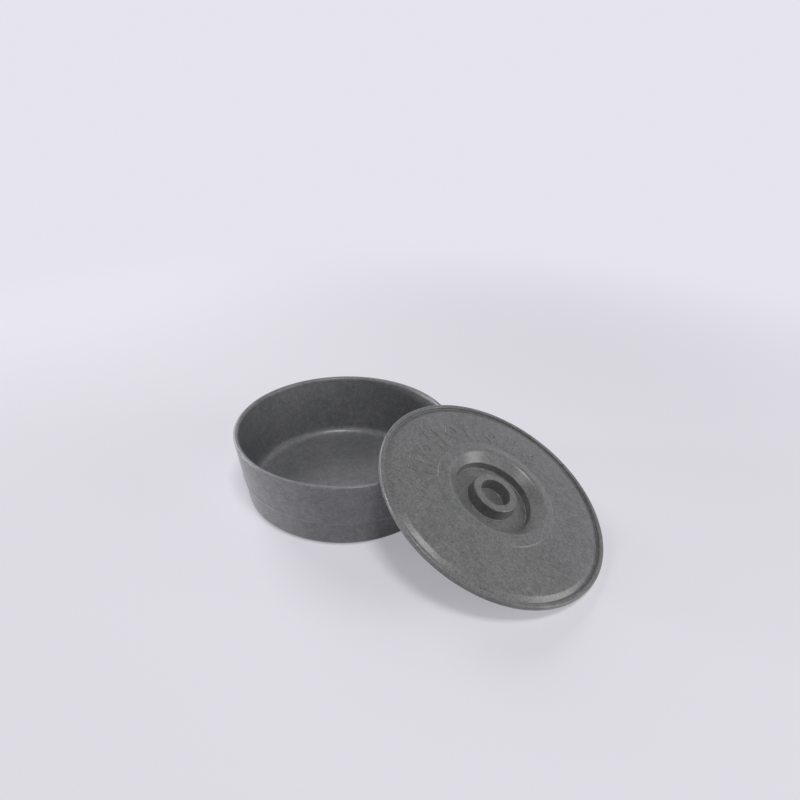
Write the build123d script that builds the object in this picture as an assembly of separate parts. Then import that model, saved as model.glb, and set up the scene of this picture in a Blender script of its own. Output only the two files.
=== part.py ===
"""Tortilla warmer: a round moulded bowl and the loose lid that covers it.

Both pieces are thick-walled polypropylene mouldings, each turned about its own axis.
The bowl stands on the table with its axis on Z and the middle of its foot at the origin.
The lid is taken off: its lower edge stands on the table at +X and its flat underside
leans on the bowl's rim. Lengths are in millimetres.
"""

import os
from math import asin, atan2, cos, degrees, hypot, sin

from build123d import *

# Bowl, outside
bowl_height = 70.0
bowl_flare = 7.7
foot_rounding = 6.0
rim_rounding = 1.2
belt_height = 24.5
belt_step = 0.5

# Bowl, walls
bowl_wall = 4.5
bowl_floor = 4.0
floor_rounding = 9.0

# Lid flange: heights are above the face that sits on the bowl's rim
lid_radius = 107.5
lid_overhang = 1.0
flange_rounding = 0.8
bead_width = 4.2
bead_height = 4.8
bead_draft = 0.3
bead_rounding = 1.6
bead_inner_rounding = 1.0
gutter_width = 1.2
gutter_floor = 2.2

# Lid panel, from the shoulder in to the raised collar round the well
shoulder_width = 4.6
shoulder_rounding = 2.0
panel_edge_height = 4.3
panel_inner_height = 6.5
panel_crown = 0.35
panel_curve = 250.0
collar_width = 10.4
collar_step = 0.9
collar_rounding = 1.0
crest_height = 9.5
crest_rounding = 5.0
dish_width = 8.9

# Well and finger knob
knob_radius = 20.8
knob_wall = 6.9
knob_draft = 0.5
knob_height = 6.2
knob_rounding = 1.4
finger_gap = 16.1
lip_height = 1.3
lip_rounding = 0.7
well_draft = 0.5
well_floor = -5.6
well_rounding = 1.5
bore_draft = 0.4
bore_edge_rounding = 0.8
bore_floor_rounding = 1.5

# Lid underside
lid_wall = 4.5
under_well_rounding = 4.0

# Ring under the flange that keeps the lid centred in the bowl's mouth
locating_clearance = 0.8
locating_depth = 4.0
locating_width = 3.2
locating_rounding = 0.9

# Place of the lid when it is off the bowl
lean_reach = 57.3
contact_clearance = 0.3
table_clearance = 0.2

# Radii that follow from the sizes above
rim_radius = lid_radius - lid_overhang
foot_radius = rim_radius - bowl_flare
panel_radius = lid_radius - bead_width - gutter_width - shoulder_width
bore_radius = knob_radius - knob_wall
lip_radius = knob_radius + finger_gap
crest_radius = lip_radius + dish_width
collar_radius = crest_radius + collar_width


def meet(a, b, c, d):
    """Point where the line through a and b crosses the line through c and d."""
    run_ab, rise_ab = b[0] - a[0], b[1] - a[1]
    run_cd, rise_cd = d[0] - c[0], d[1] - c[1]
    turn = run_ab * rise_cd - rise_ab * run_cd
    share = ((c[0] - a[0]) * rise_cd - (c[1] - a[1]) * run_cd) / turn
    return a[0] + share * run_ab, a[1] + share * rise_ab


def turned(corners):
    """Solid of revolution about Z from an outline of ((radius, height), rounding) corners."""
    points = [corner for corner, rounding in corners]
    roundings = [rounding for corner, rounding in corners]
    outline = FilletPolyline(*points, radius=roundings, close=True)
    return revolve(Plane.XZ * make_face(outline), axis=Axis.Z)


def bowl_taper():
    """Outward lean of the bowl's wall, in millimetres for each millimetre of height."""
    return bowl_flare / bowl_height


def bowl():
    """Tapered bowl, with a faint belt line where its wall steps in towards the foot."""
    taper = bowl_taper()
    belt_radius = foot_radius + taper * belt_height
    wall_run = bowl_wall * hypot(1, taper)
    inside_foot_radius = foot_radius + taper * bowl_floor - wall_run
    return turned([
        ((0, 0), 0),
        ((foot_radius - belt_step, 0), foot_rounding),
        ((belt_radius - belt_step, belt_height), 0),
        ((belt_radius, belt_height + belt_step), 0),
        ((rim_radius, bowl_height), rim_rounding),
        ((rim_radius - wall_run, bowl_height), rim_rounding),
        ((inside_foot_radius, bowl_floor), floor_rounding),
        ((0, bowl_floor), 0),
    ])


def locating_radius():
    """Outside radius of the locating ring where it meets the flange."""
    return rim_radius - bowl_wall * hypot(1, bowl_taper()) - locating_clearance


def ceiling_line():
    """Two points, inner then outer, on the shallow cone under the lid's panel."""
    inner = (collar_radius, panel_inner_height - lid_wall)
    outer = (panel_radius, panel_edge_height - lid_wall)
    return inner, outer


def lid_top():
    """Corners of the lid's upper side. The knob's bore is as deep as the well outside it."""
    bead_foot = lid_radius - bead_width
    panel_middle = (panel_radius + collar_radius) / 2
    crown_height = (panel_edge_height + panel_inner_height) / 2 + panel_crown
    return [
        ((0, well_floor), 0),
        ((bore_radius - bore_draft, well_floor), bore_floor_rounding),
        ((bore_radius, knob_height), bore_edge_rounding),
        ((knob_radius, knob_height), knob_rounding),
        ((knob_radius + knob_draft, well_floor), 0),
        ((lip_radius - well_draft, well_floor), well_rounding),
        ((lip_radius, lip_height), lip_rounding),
        ((crest_radius, crest_height), crest_rounding),
        ((collar_radius - collar_step, panel_inner_height + collar_step), collar_rounding),
        ((collar_radius, panel_inner_height), 0),
        ((panel_middle, crown_height), panel_curve),
        ((panel_radius, panel_edge_height), shoulder_rounding),
        ((bead_foot - gutter_width, gutter_floor), 0),
        ((bead_foot, gutter_floor), 0),
        ((bead_foot + bead_draft, bead_height), bead_inner_rounding),
        ((lid_radius, bead_height), bead_rounding),
        ((lid_radius, 0), flange_rounding),
    ]


def lid_underside():
    """Corners of the lid's lower side, from the locating ring in to the axis."""
    ring_radius = locating_radius()
    ring_end_radius = ring_radius - bowl_taper() * locating_depth
    ring_inside = (ring_radius - locating_width, 0)
    ring_inside_end = (ring_end_radius - locating_width, -locating_depth)
    ceiling_inner, ceiling_outer = ceiling_line()

    dish_run, dish_rise = crest_radius - lip_radius, crest_height - lip_height
    dish_length = hypot(dish_run, dish_rise)
    shift_out, shift_down = lid_wall * dish_rise / dish_length, lid_wall * dish_run / dish_length
    under_lip = (lip_radius + shift_out, lip_height - shift_down)
    under_crest = (crest_radius + shift_out, crest_height - shift_down)

    under_well = well_floor - lid_wall
    well_foot = (lip_radius - well_draft + lid_wall, under_well)
    well_top = (lip_radius + lid_wall, lip_height)
    return [
        ((ring_radius, 0), 0),
        ((ring_end_radius, -locating_depth), locating_rounding),
        (ring_inside_end, 0),
        (meet(ring_inside, ring_inside_end, ceiling_inner, ceiling_outer), 0),
        (meet(ceiling_inner, ceiling_outer, under_lip, under_crest), 0),
        (meet(under_lip, under_crest, well_foot, well_top), 0),
        (well_foot, under_well_rounding),
        ((0, under_well), 0),
    ]


def lid():
    """Lid with the finger knob standing in its dished well, leaning against the bowl."""
    (inner_radius, inner_height), (outer_radius, outer_height) = ceiling_line()
    fall = (inner_height - outer_height) / (outer_radius - inner_radius)
    contact_height = inner_height + fall * (inner_radius - lean_reach)
    offset = (rim_rounding + contact_clearance) / hypot(1, fall)
    rim_reach = lean_reach - fall * offset
    rim_depth = contact_height - offset
    rim_centre = (rim_radius - rim_rounding, bowl_height - rim_rounding)

    # The lid can stand on the edge of its flange or on its locating ring
    ring_arm = locating_radius() - bowl_taper() * locating_depth - locating_rounding
    feet = [
        (lid_radius - flange_rounding, flange_rounding, flange_rounding),
        (ring_arm, locating_rounding - locating_depth, locating_rounding),
    ]
    tilts = []
    for arm, height, rounding in feet:
        along, across = arm + rim_reach, rim_depth - height
        climb = rim_centre[1] - rounding - table_clearance
        tilts.append(asin(climb / hypot(along, across)) - atan2(across, along))
    tilt = min(tilts)
    arm, height, rounding = feet[tilts.index(tilt)]

    centre_x = rim_centre[0] + rim_reach * cos(tilt) - rim_depth * sin(tilt)
    centre_z = arm * sin(tilt) - height * cos(tilt) + rounding + table_clearance
    level_lid = turned(lid_top() + lid_underside())
    return Pos(centre_x, 0, centre_z) * Rot(0, degrees(tilt), 0) * level_lid


os.makedirs("parts", exist_ok=True)
export_step(bowl(), "parts/bowl.step")
export_step(lid(), "parts/lid.step")
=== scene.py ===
from math import ceil, cos, floor, hypot, pi, radians, sin, tan

import bmesh
import bpy
from mathutils import Matrix, Vector
from mathutils.geometry import delaunay_2d_cdt
from mathutils.kdtree import KDTree


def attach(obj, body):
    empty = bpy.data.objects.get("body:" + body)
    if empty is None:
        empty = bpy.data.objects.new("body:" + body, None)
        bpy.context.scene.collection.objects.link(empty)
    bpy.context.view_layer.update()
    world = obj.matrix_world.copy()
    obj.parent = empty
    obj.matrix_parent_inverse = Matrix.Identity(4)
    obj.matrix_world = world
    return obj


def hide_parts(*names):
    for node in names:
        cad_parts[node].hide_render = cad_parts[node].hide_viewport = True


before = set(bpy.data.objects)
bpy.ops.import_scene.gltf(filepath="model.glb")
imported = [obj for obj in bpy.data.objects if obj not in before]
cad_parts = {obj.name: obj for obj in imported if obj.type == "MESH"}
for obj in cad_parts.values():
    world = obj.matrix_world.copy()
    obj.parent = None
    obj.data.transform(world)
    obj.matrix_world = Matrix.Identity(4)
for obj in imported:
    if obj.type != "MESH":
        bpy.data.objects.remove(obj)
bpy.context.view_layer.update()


# ------------------------------------------------------------------------------------------
# Bowl. One thick moulding in stone-effect polypropylene, standing on its flat foot.
# The wall leans outwards from a rounded foot to a rim with rounded edges. A low belt runs
# round the outside, and the wall is a little thinner below it.

mm = 0.001

bowl_height = 70.0 * mm
rim_radius = 106.5 * mm
foot_radius = 98.8 * mm
foot_rounding = 6.0 * mm
rim_rounding = 1.2 * mm
mouth_rounding = 2.7 * mm
belt_height = 26.5 * mm
belt_width = 4.5 * mm
belt_step = 0.5 * mm
belt_swell = 0.25 * mm
belt_slope = 1.2 * mm
belt_rounding = 0.5 * mm
bowl_wall = 4.5 * mm
bowl_floor = 4.0 * mm
floor_rounding = 9.0 * mm

taper = (rim_radius - foot_radius) / bowl_height
wall_run = bowl_wall * hypot(1, taper)
belt_top = belt_height + belt_width
belt_radius = foot_radius + taper * belt_height
belt_top_radius = belt_radius + taper * belt_width
inside_foot_radius = foot_radius + taper * bowl_floor - wall_run


def with_arcs(corners, turn_step=radians(11)):
    """Points along an outline of ((x, y), rounding) corners, with each rounding as an arc."""
    points = []
    for index, (corner, rounding) in enumerate(corners):
        corner = Vector(corner)
        if rounding == 0:
            points.append(corner)
            continue
        before = (Vector(corners[index - 1][0]) - corner).normalized()
        after = (Vector(corners[(index + 1) % len(corners)][0]) - corner).normalized()
        half = before.angle(after) / 2
        centre = corner + (before + after).normalized() * (rounding / sin(half))
        reach = rounding / tan(half)
        first, last = corner + before * reach - centre, corner + after * reach - centre
        turn = pi - 2 * half
        steps = max(2, ceil(turn / turn_step))
        for step in range(steps + 1):
            start_share, end_share = sin(turn * (1 - step / steps)), sin(turn * step / steps)
            points.append(centre + (first * start_share + last * end_share) / sin(turn))
    return points


def filled_in(points, longest, hold, closed=False):
    """The same points, with more on each run that is over the longest, close to its ends first."""
    filled = []
    for index, point in enumerate(points):
        filled.append(point)
        if index + 1 == len(points) and not closed:
            break
        run = points[(index + 1) % len(points)] - point
        if run.length > longest:
            inner = run.length - 2 * hold
            parts = ceil(inner / longest)
            stops = [hold + inner * part / parts for part in range(parts + 1)]
            filled += [point + run * (stop / run.length) for stop in stops]
    return filled


columns = 288
ring_gap = 5.0 * mm
ring_hold = 0.5 * mm
on_axis = 1e-7
sharp_edge = radians(26)


def turned(outline):
    """Closed bmesh turned about Z from (radius, height) points that start and end on the axis."""
    shell = bmesh.new()
    rings = []
    for radius, height in outline:
        if radius < on_axis:
            rings.append([shell.verts.new((0, 0, height))] * columns)
            continue
        turns = [2 * pi * column / columns for column in range(columns)]
        rings.append([shell.verts.new((radius * cos(t), radius * sin(t), height)) for t in turns])
    for lower, upper in zip(rings, rings[1:]):
        for column in range(columns):
            after = (column + 1) % columns
            corners = [lower[column], lower[after], upper[after], upper[column]]
            shell.faces.new(list(dict.fromkeys(corners)))
    return shell, rings


def shaded(shell, name):
    """Object from a bmesh, smooth except where its faces meet at a real edge."""
    bmesh.ops.recalc_face_normals(shell, faces=shell.faces)
    mesh = bpy.data.meshes.new(name)
    shell.to_mesh(mesh)
    shell.free()
    mesh.shade_smooth()
    mesh.set_sharp_from_angle(angle=sharp_edge)
    piece = bpy.data.objects.new(name, mesh)
    bpy.context.collection.objects.link(piece)
    weighted = piece.modifiers.new("even_shading", "WEIGHTED_NORMAL")
    weighted.keep_sharp = True
    return piece


class Shade:
    """One output of a shader node. Arithmetic on it adds Math nodes to the same material."""

    def __init__(self, tree, socket=None):
        self.tree = tree
        self.socket = socket

    def node(self, kind, settings=None, inputs=None, output=0):
        """Adds a node: its settings first, then the values or links of its sockets."""
        made = self.tree.nodes.new(kind)
        for key, value in (settings or {}).items():
            setattr(made, key, value)
        for key, value in (inputs or {}).items():
            if isinstance(value, Shade):
                self.tree.links.new(value.socket, made.inputs[key])
            else:
                made.inputs[key].default_value = value
        return Shade(self.tree, made.outputs[output] if made.outputs else None)

    def maths(self, operation, first, second=0.0):
        return self.node("ShaderNodeMath", {"operation": operation}, {0: first, 1: second})

    def __add__(self, other):
        return self.maths("ADD", self, other)

    __radd__ = __add__

    def __sub__(self, other):
        return self.maths("SUBTRACT", self, other)

    def __rsub__(self, other):
        return self.maths("SUBTRACT", other, self)

    def __mul__(self, other):
        return self.maths("MULTIPLY", self, other)

    __rmul__ = __mul__

    def mixed(self, start, end):
        """Colour between start and end, with this shade as the share of the end."""
        inputs = {0: self, 6: start, 7: end}
        return self.node("ShaderNodeMix", {"data_type": "RGBA"}, inputs, output=2)

    def rise(self, low, high):
        """Goes smoothly from 0 where this shade is low to 1 where it is high."""
        settings = {"interpolation_type": "SMOOTHSTEP"}
        return self.node("ShaderNodeMapRange", settings, {0: self, 1: low, 2: high})


def new_tree(name):
    """Empty material by that name, and a Shade that adds nodes to it."""
    material = bpy.data.materials.new(name)
    material.use_nodes = True
    material.node_tree.nodes.clear()
    return material, Shade(material.node_tree)


plastic_ior = 1.49
grain_depth = 0.14 * mm


def stone_plastic(name, tone, speckle, sheen):
    """Matte polypropylene full of pale and dark mineral flecks, from a lightly grained mould."""
    material, shader = new_tree(name)
    place = shader.node("ShaderNodeTexCoord", output=3)

    def noise(per_metre, detail=2.0, roughness=0.5):
        values = {"Vector": place, "Scale": per_metre, "Detail": detail, "Roughness": roughness}
        return shader.node("ShaderNodeTexNoise", {"normalize": True}, values)

    def flecks(per_metre, share):
        """Soft spots, one in each cell of a random share of the cells."""
        values = {"Vector": place, "Scale": per_metre, "Randomness": 1.0}
        distance = shader.node("ShaderNodeTexVoronoi", {"feature": "F1"}, values)
        own_colour = shader.node("ShaderNodeTexVoronoi", {"feature": "F1"}, values, output=1)
        chance = shader.node("ShaderNodeSeparateColor", {}, {0: own_colour})
        return chance.rise(1 - share, 1 - share * 0.6) * (1 - distance.rise(0.2, 0.6))

    def toned(strength):
        """The plastic's own colour, made darker or paler."""
        return [part * strength for part in tone] + [1.0]

    cloud = noise(24.0, 3.0)
    blotch = noise(170.0, 3.0, 0.6)
    mottle = noise(480.0, 3.0, 0.62)
    grain = noise(1400.0, 2.0)
    pale_fleck = flecks(620.0, 0.3)
    dark_fleck = flecks(560.0, 0.3)

    coarse = 0.35 * cloud + 0.7 * blotch - 0.525
    fine = 1.1 * mottle + 0.5 * grain - 0.8
    body = (0.5 + coarse + speckle * fine).mixed(toned(0.4), toned(1.6))
    body = (pale_fleck * (0.45 * speckle)).mixed(body, toned(1.75))
    body = (dark_fleck * (0.5 * speckle)).mixed(body, toned(0.45))

    rough = 0.18 + 0.18 * mottle + 0.10 * grain
    height = 0.5 * grain + 0.8 * mottle + 0.2 * pale_fleck
    values = {"Strength": 0.5, "Distance": grain_depth, "Height": height}
    bump = shader.node("ShaderNodeBump", {}, values)
    surface = {"Base Color": body, "Roughness": rough, "Normal": bump}
    surface |= {"IOR": plastic_ior, "Specular IOR Level": sheen}
    plastic = shader.node("ShaderNodeBsdfPrincipled", {}, surface)
    shader.node("ShaderNodeOutputMaterial", {}, {0: plastic})
    return material


bowl_corners = [
    ((0, 0), 0),
    ((foot_radius - belt_step, 0), foot_rounding),
    ((belt_radius - belt_step, belt_height), 0),
    ((belt_radius + belt_swell, belt_height + belt_slope), belt_rounding),
    ((belt_top_radius + belt_swell, belt_top - belt_slope), belt_rounding),
    ((belt_top_radius, belt_top), 0),
    ((rim_radius, bowl_height), rim_rounding),
    ((rim_radius - wall_run, bowl_height), mouth_rounding),
    ((inside_foot_radius, bowl_floor), floor_rounding),
    ((0, bowl_floor), 0),
]
bowl_shell, _ = turned(filled_in(with_arcs(bowl_corners), ring_gap, ring_hold))
bowl = shaded(bowl_shell, "bowl_moulding")
# The bowl's grey is paler than the lid's grey, though both are the same plastic. The extra
# paleness is painted light, standing in for the brighter light on the bowl's outer wall.
bowl_grey_painted_paler = (0.184, 0.186, 0.192)
bowl_plastic = stone_plastic("bowl_stone_plastic", bowl_grey_painted_paler, speckle=0.65, sheen=0.6)
bowl.data.materials.append(bowl_plastic)
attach(bowl, "bowl")
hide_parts("bowl")


# ------------------------------------------------------------------------------------------
# Lid. One moulding in the same plastic, off the bowl: its edge stands on the table and its
# flat underside leans on the rim. A bead and gutter run round the edge, and the finger knob
# stands hollow in a dished well. A row of plain geometric figures is moulded in the panel.

lid_radius = 107.5 * mm
flange_rounding = 0.8 * mm
bead_width = 4.2 * mm
bead_height = 4.8 * mm
bead_draft = 0.3 * mm
bead_rounding = 1.6 * mm
bead_inner_rounding = 1.0 * mm
bead_foot_rounding = 0.4 * mm
gutter_width = 1.2 * mm
gutter_floor = 2.2 * mm
gutter_rounding = 0.6 * mm
panel_radius = 97.5 * mm
panel_edge_height = 4.3 * mm
panel_inner_height = 6.5 * mm
panel_crown = 0.35 * mm
panel_curve = 250.0 * mm
shoulder_rounding = 2.0 * mm
collar_radius = 56.2 * mm
collar_step = 0.9 * mm
collar_rounding = 1.0 * mm
collar_foot_rounding = 0.5 * mm
crest_radius = 45.8 * mm
crest_height = 9.5 * mm
crest_rounding = 5.0 * mm
lip_radius = 36.9 * mm
lip_height = 1.3 * mm
lip_rounding = 0.7 * mm
well_draft = 0.5 * mm
well_floor = -5.6 * mm
well_rounding = 0.8 * mm
knob_radius = 20.8 * mm
knob_draft = 0.5 * mm
knob_height = 6.2 * mm
knob_rounding = 1.4 * mm
knob_foot_rounding = 0.8 * mm
bore_radius = 13.9 * mm
bore_draft = 0.4 * mm
bore_edge_rounding = 0.8 * mm
bore_floor_rounding = 0.7 * mm
lid_wall = 4.5 * mm
under_dish_rounding = 1.5 * mm
under_well_rounding = 4.0 * mm
ring_clearance = 0.8 * mm
ring_radius = rim_radius - wall_run - ring_clearance
ring_depth = 4.0 * mm
ring_width = 3.2 * mm
ring_rounding = 0.9 * mm
ring_inner_rounding = 0.6 * mm
ring_foot_rounding = 1.0 * mm

lid_tilt = radians(24.2356)
lid_place = Vector((157.295, 0, 44.907)) * mm  # middle of the face that sits on the rim


def crossing(a, b, c, d):
    """Point where the line through a and b crosses the line through c and d."""
    ab, cd = Vector(b) - Vector(a), Vector(d) - Vector(c)
    share = (Vector(c) - Vector(a)).cross(cd) / ab.cross(cd)
    return Vector(a) + share * ab


bead_foot = lid_radius - bead_width
panel_middle = (panel_radius + collar_radius) / 2
crown_height = (panel_edge_height + panel_inner_height) / 2 + panel_crown
lid_top = [
    ((0, well_floor), 0),
    ((bore_radius - bore_draft, well_floor), bore_floor_rounding),
    ((bore_radius, knob_height), bore_edge_rounding),
    ((knob_radius, knob_height), knob_rounding),
    ((knob_radius + knob_draft, well_floor), knob_foot_rounding),
    ((lip_radius - well_draft, well_floor), well_rounding),
    ((lip_radius, lip_height), lip_rounding),
    ((crest_radius, crest_height), crest_rounding),
    ((collar_radius - collar_step, panel_inner_height + collar_step), collar_rounding),
    ((collar_radius, panel_inner_height), collar_foot_rounding),
    ((panel_middle, crown_height), panel_curve),
    ((panel_radius, panel_edge_height), shoulder_rounding),
    ((bead_foot - gutter_width, gutter_floor), gutter_rounding),
    ((bead_foot, gutter_floor), bead_foot_rounding),
    ((bead_foot + bead_draft, bead_height), bead_inner_rounding),
    ((lid_radius, bead_height), bead_rounding),
    ((lid_radius, 0), flange_rounding),
]

ring_end_radius = ring_radius - taper * ring_depth
ring_inside = (ring_radius - ring_width, 0)
ring_inside_end = (ring_end_radius - ring_width, -ring_depth)
ceiling_inner = (collar_radius, panel_inner_height - lid_wall)
ceiling_outer = (panel_radius, panel_edge_height - lid_wall)
dish_run, dish_rise = crest_radius - lip_radius, crest_height - lip_height
dish_length = hypot(dish_run, dish_rise)
wall_shift = Vector((dish_rise, -dish_run)) * (lid_wall / dish_length)
under_lip = Vector((lip_radius, lip_height)) + wall_shift
under_crest = Vector((crest_radius, crest_height)) + wall_shift
well_foot = (lip_radius - well_draft + lid_wall, well_floor - lid_wall)
well_top = (lip_radius + lid_wall, lip_height)
lid_underside = [
    ((ring_radius, 0), 0),
    ((ring_end_radius, -ring_depth), ring_rounding),
    (ring_inside_end, ring_inner_rounding),
    (crossing(ring_inside, ring_inside_end, ceiling_inner, ceiling_outer), ring_foot_rounding),
    (crossing(ceiling_inner, ceiling_outer, under_lip, under_crest), under_dish_rounding),
    (crossing(under_lip, under_crest, well_foot, well_top), under_dish_rounding),
    (well_foot, under_well_rounding),
    ((0, well_floor - lid_wall), 0),
]
lid_outline = filled_in(with_arcs(lid_top + lid_underside), ring_gap, ring_hold)
lid_shell, lid_rings = turned(lid_outline)

band_radius = 71.25 * mm
band_start, band_end = radians(76.0), radians(233.0)
figure_count = 9
figure_width, figure_length = 18.4 * mm, 22.8 * mm
stroke = 4.0 * mm
middle_gap = 1.6 * mm
bar_width = 4.6 * mm
bar_spacing = 10.2 * mm
figure_rounding = 1.2 * mm
least_rounding = 0.15 * mm
inside_rounding = 0.4 * mm
figure_turn_step = radians(24)
figure_gap = 1.2 * mm
figure_hold = 0.3 * mm

# Edge of a raised figure, in millimetres: how far in from its foot, and how high there
relief = [(0.0, 0.0), (0.18, 0.36), (0.32, 0.56), (0.50, 0.68), (0.80, 0.74), (1.10, 0.75)]


def diamond(width, length, inset):
    """Corners of a diamond, moved in from its full size by the inset."""
    slant = hypot(width, length)
    across, along = width / 2 - inset * slant / length, length / 2 - inset * slant / width
    return [(across, 0), (0, along), (-across, 0), (0, -along)]


def bar(width, length, inset):
    """Corners of a bar, moved in from its full size by the inset."""
    across, along = width / 2 - inset, length / 2 - inset
    return [(across, along), (-across, along), (-across, -along), (across, -along)]


def panel_height(radius):
    """Height of the lid's plain panel at a radius."""
    for inner, outer in zip(lid_outline, lid_outline[1:]):
        if inner.x <= radius <= outer.x and inner.x > collar_radius - 1 * mm:
            return inner.y + (outer.y - inner.y) * (radius - inner.x) / (outer.x - inner.x)


# The figures are drawn as closed lines on a plan of the panel, in millimetres, and each line
# has one height above the plain panel
plan, plan_edges, lifts = [], [], []


def add_loop(points, lift):
    """Adds a closed line of plan points at one height above the panel."""
    first = len(plan)
    for step, point in enumerate(points):
        plan.append(point / mm)
        lifts.append(lift)
        plan_edges.append((first + step, first + (step + 1) % len(points)))


def add_figure(shape, width, length, turn, across=0.0, margin=0.0, hollow=False):
    """Adds the stepped lines of one raised shape, or of the raised edge round a hollow."""
    for run, rise in relief:
        if hollow:
            inset, rounding = margin - run * mm, inside_rounding + run * mm
        else:
            inset, rounding = margin + run * mm, max(figure_rounding - run * mm, least_rounding)
        corners = [(corner, rounding) for corner in shape(width, length, inset)]
        line = with_arcs(corners, figure_turn_step)
        line = filled_in(line, figure_gap, figure_hold, closed=True)
        bent = [(band_radius + point.y, turn + (across + point.x) / band_radius) for point in line]
        add_loop([Vector((r * cos(t), r * sin(t))) for r, t in bent], rise * mm)


pitch = (band_end - band_start) / figure_count
for place in range(figure_count):
    turn = band_start + pitch * (place + 0.5)
    if place % 2 == 0:
        add_figure(diamond, figure_width, figure_length, turn)
        add_figure(diamond, figure_width, figure_length, turn, margin=stroke, hollow=True)
        add_figure(diamond, figure_width, figure_length, turn, margin=stroke + middle_gap)
    else:
        add_figure(bar, bar_width, figure_length, turn, across=-bar_spacing / 2)
        add_figure(bar, bar_width, figure_length, turn, across=bar_spacing / 2)

# The plain faces under the figures are taken out, and triangles between the lines close the gap
column_step = 2 * pi / columns
first_column = floor(band_start / column_step) - 1
last_column = ceil(band_end / column_step) + 1
border_gap = 1.5 * mm
inner_limit = band_radius - figure_length / 2 - border_gap
outer_limit = band_radius + figure_length / 2 + border_gap
panel_foot = panel_edge_height - 1 * mm
panel_rings = [ring for ring, point in enumerate(lid_outline) if point.y > panel_foot]
first_ring = max(ring for ring in panel_rings if lid_outline[ring].x < inner_limit)
last_ring = min(ring for ring in panel_rings if lid_outline[ring].x > outer_limit)

cleared = []
for ring in range(first_ring, last_ring):
    lower, upper = lid_rings[ring], lid_rings[ring + 1]
    for column in range(first_column, last_column):
        corners = [lower[column], lower[column + 1], upper[column + 1], upper[column]]
        cleared.append(lid_shell.faces.get(corners))
bmesh.ops.delete(lid_shell, geom=cleared, context="FACES")

border = [lid_rings[first_ring][column] for column in range(first_column, last_column)]
border += [lid_rings[ring][last_column] for ring in range(first_ring, last_ring)]
border += [lid_rings[last_ring][column] for column in range(last_column, first_column, -1)]
border += [lid_rings[ring][first_column] for ring in range(last_ring, first_ring, -1)]
border_first = len(plan)
add_loop([vertex.co.xy for vertex in border], 0.0)

taken = KDTree(len(plan))
for index, point in enumerate(plan):
    taken.insert((point.x, point.y, 0), index)
taken.balance()
plain_gap = 1.2 * mm
ring_parts = 3
for ring in range(first_ring, last_ring):
    inner, outer = lid_outline[ring].x, lid_outline[ring + 1].x
    for part in range(ring_parts):
        radius = (inner + (outer - inner) * part / ring_parts) / mm
        for column in range(first_column, last_column):
            point = Vector((cos(column * column_step), sin(column * column_step))) * radius
            if taken.find((point.x, point.y, 0))[2] > plain_gap / mm:
                plan.append(point)
                lifts.append(0.0)

points, _, triangles, sources, _, _ = delaunay_2d_cdt(plan, plan_edges, [], 1, 1e-5)
corners = []
for point, source in zip(points, sources):
    if border_first <= source[0] < border_first + len(border):
        corners.append(border[source[0] - border_first])
    else:
        height = panel_height(point.length * mm) + lifts[source[0]]
        corners.append(lid_shell.verts.new((point.x * mm, point.y * mm, height)))
for triangle in triangles:
    lid_shell.faces.new([corners[index] for index in triangle])

lid_shell.transform(Matrix.Translation(lid_place) @ Matrix.Rotation(lid_tilt, 4, "Y"))
lid = shaded(lid_shell, "lid_moulding")
lid_grey = (0.157, 0.158, 0.157)
lid_plastic = stone_plastic("lid_stone_plastic", lid_grey, speckle=0.95, sheen=0.5)
lid.data.materials.append(lid_plastic)
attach(lid, "lid")
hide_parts("lid")


# ------------------------------------------------------------------------------------------
# Table top. A plain pale sheet, much wider than the view. Away from the warmer it turns into
# the plain tone of the backdrop, and near it the sheet keeps the shadows.

table_radius = 30.0
table_tone = (0.92, 0.905, 0.965, 1.0)
backdrop_tone = (0.79, 0.78, 0.85, 1.0)
shadow_lift = 0.42
fade_start, fade_end = 0.35, 1.1


def seen_rays(shader):
    """Share that is 1 for what is seen directly, in a gloss or through glass."""
    seen, glossy, through = [shader.node("ShaderNodeLightPath", output=ray) for ray in (0, 3, 6)]
    return shader.maths("MINIMUM", seen + glossy + through, 1.0)


sheet = bmesh.new()
bmesh.ops.create_circle(sheet, cap_ends=True, segments=96, radius=table_radius)
table_mesh = bpy.data.meshes.new("table_top")
sheet.to_mesh(table_mesh)
sheet.free()
table_top = bpy.data.objects.new("table_top", table_mesh)
bpy.context.collection.objects.link(table_top)
paper, shader = new_tree("pale_table")
place = shader.node("ShaderNodeTexCoord", output=3)
reach = shader.node("ShaderNodeVectorMath", {"operation": "LENGTH"}, {0: place}, output=1)
share = seen_rays(shader) * (shadow_lift + (1 - shadow_lift) * reach.rise(fade_start, fade_end))
surface = {"Base Color": table_tone, "Roughness": 0.9, "Specular IOR Level": 0.1}
matte = shader.node("ShaderNodeBsdfPrincipled", {}, surface)
plain = shader.node("ShaderNodeEmission", {}, {"Color": backdrop_tone, "Strength": 1.0})
both = shader.node("ShaderNodeMixShader", {}, {0: share, 1: matte, 2: plain})
shader.node("ShaderNodeOutputMaterial", {}, {0: both})
table_top.data.materials.append(paper)


# ------------------------------------------------------------------------------------------
# Studio light. A small box high over the front gives the shadows. Lower boxes on both sides
# and in front light the walls and the edges, and a faint pale surround fills the rest.

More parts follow.
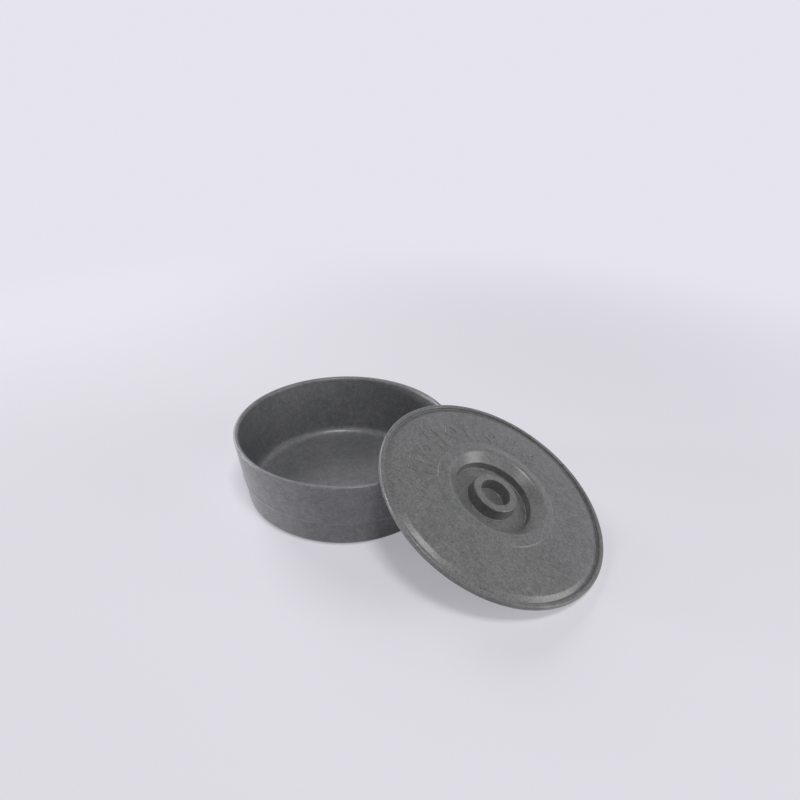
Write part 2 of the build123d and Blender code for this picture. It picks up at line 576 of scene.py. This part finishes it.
surround = bpy.data.worlds.new("surround")
bpy.context.scene.world = surround
surround.use_nodes = True
surround.node_tree.nodes.clear()
air = Shade(surround.node_tree)
fill = air.node("ShaderNodeBackground", {}, {"Color": (0.95, 0.97, 1.0, 1.0), "Strength": 0.03})
pale = air.node("ShaderNodeBackground", {}, {"Color": backdrop_tone, "Strength": 1.0})
both = air.node("ShaderNodeMixShader", {}, {0: seen_rays(air), 1: fill, 2: pale})
air.node("ShaderNodeOutputWorld", {}, {0: both})


between_pieces = Vector((70.0, 0.0, 30.0)) * mm


def softbox(name, azimuth, elevation, distance, size, watts):
    """Square white lamp, in a direction and at a distance from between the bowl and the lid."""
    around, above = radians(azimuth), radians(elevation)
    away = Vector((sin(around) * cos(above), -cos(around) * cos(above), sin(above)))
    lamp = bpy.data.lights.new(name, "AREA")
    lamp.shape, lamp.size, lamp.energy = "SQUARE", size, watts
    holder = bpy.data.objects.new(name, lamp)
    holder.location = between_pieces + away * distance
    holder.rotation_euler = away.to_track_quat("Z", "Y").to_euler()
    bpy.context.collection.objects.link(holder)


softbox("key_box", 44, 70, 1.8, 0.4, 12.8)
softbox("left_box", -108, 30, 1.8, 0.9, 14.0)
softbox("low_left_box", -66, 1, 2.5, 0.4, 52.0)
softbox("front_box", 20, 10, 1.8, 0.9, 1.3)
softbox("right_box", 65, 32, 1.8, 0.9, 2.4)
softbox("back_right_box", 105, 10, 1.8, 0.9, 12.5)


# ------------------------------------------------------------------------------------------
# Camera. Level with no roll, looking down on the bowl with the lid to its right.

camera_azimuth = radians(32.463)
camera_elevation = radians(33.011)
camera_distance = 0.58
camera_target = Vector((16.257, 21.673, 30.0)) * mm
picture_width = 800
focal_pixels = 563.1
centre_across, centre_down = 369.97, 451.99

eye = bpy.data.cameras.new("camera")
eye.sensor_width = 36.0
eye.lens = focal_pixels / picture_width * eye.sensor_width
eye.shift_x = (picture_width / 2 - centre_across) / picture_width
eye.shift_y = (centre_down - picture_width / 2) / picture_width
eye.clip_start, eye.clip_end = 0.02, 20.0
camera = bpy.data.objects.new("camera", eye)
back = Vector((
    sin(camera_azimuth) * cos(camera_elevation),
    -cos(camera_azimuth) * cos(camera_elevation),
    sin(camera_elevation),
))
camera.location = camera_target + back * camera_distance
camera.rotation_euler = (-back).to_track_quat("-Z", "Y").to_euler()
bpy.context.collection.objects.link(camera)
bpy.context.scene.camera = camera
bpy.context.scene.view_settings.view_transform = "Standard"
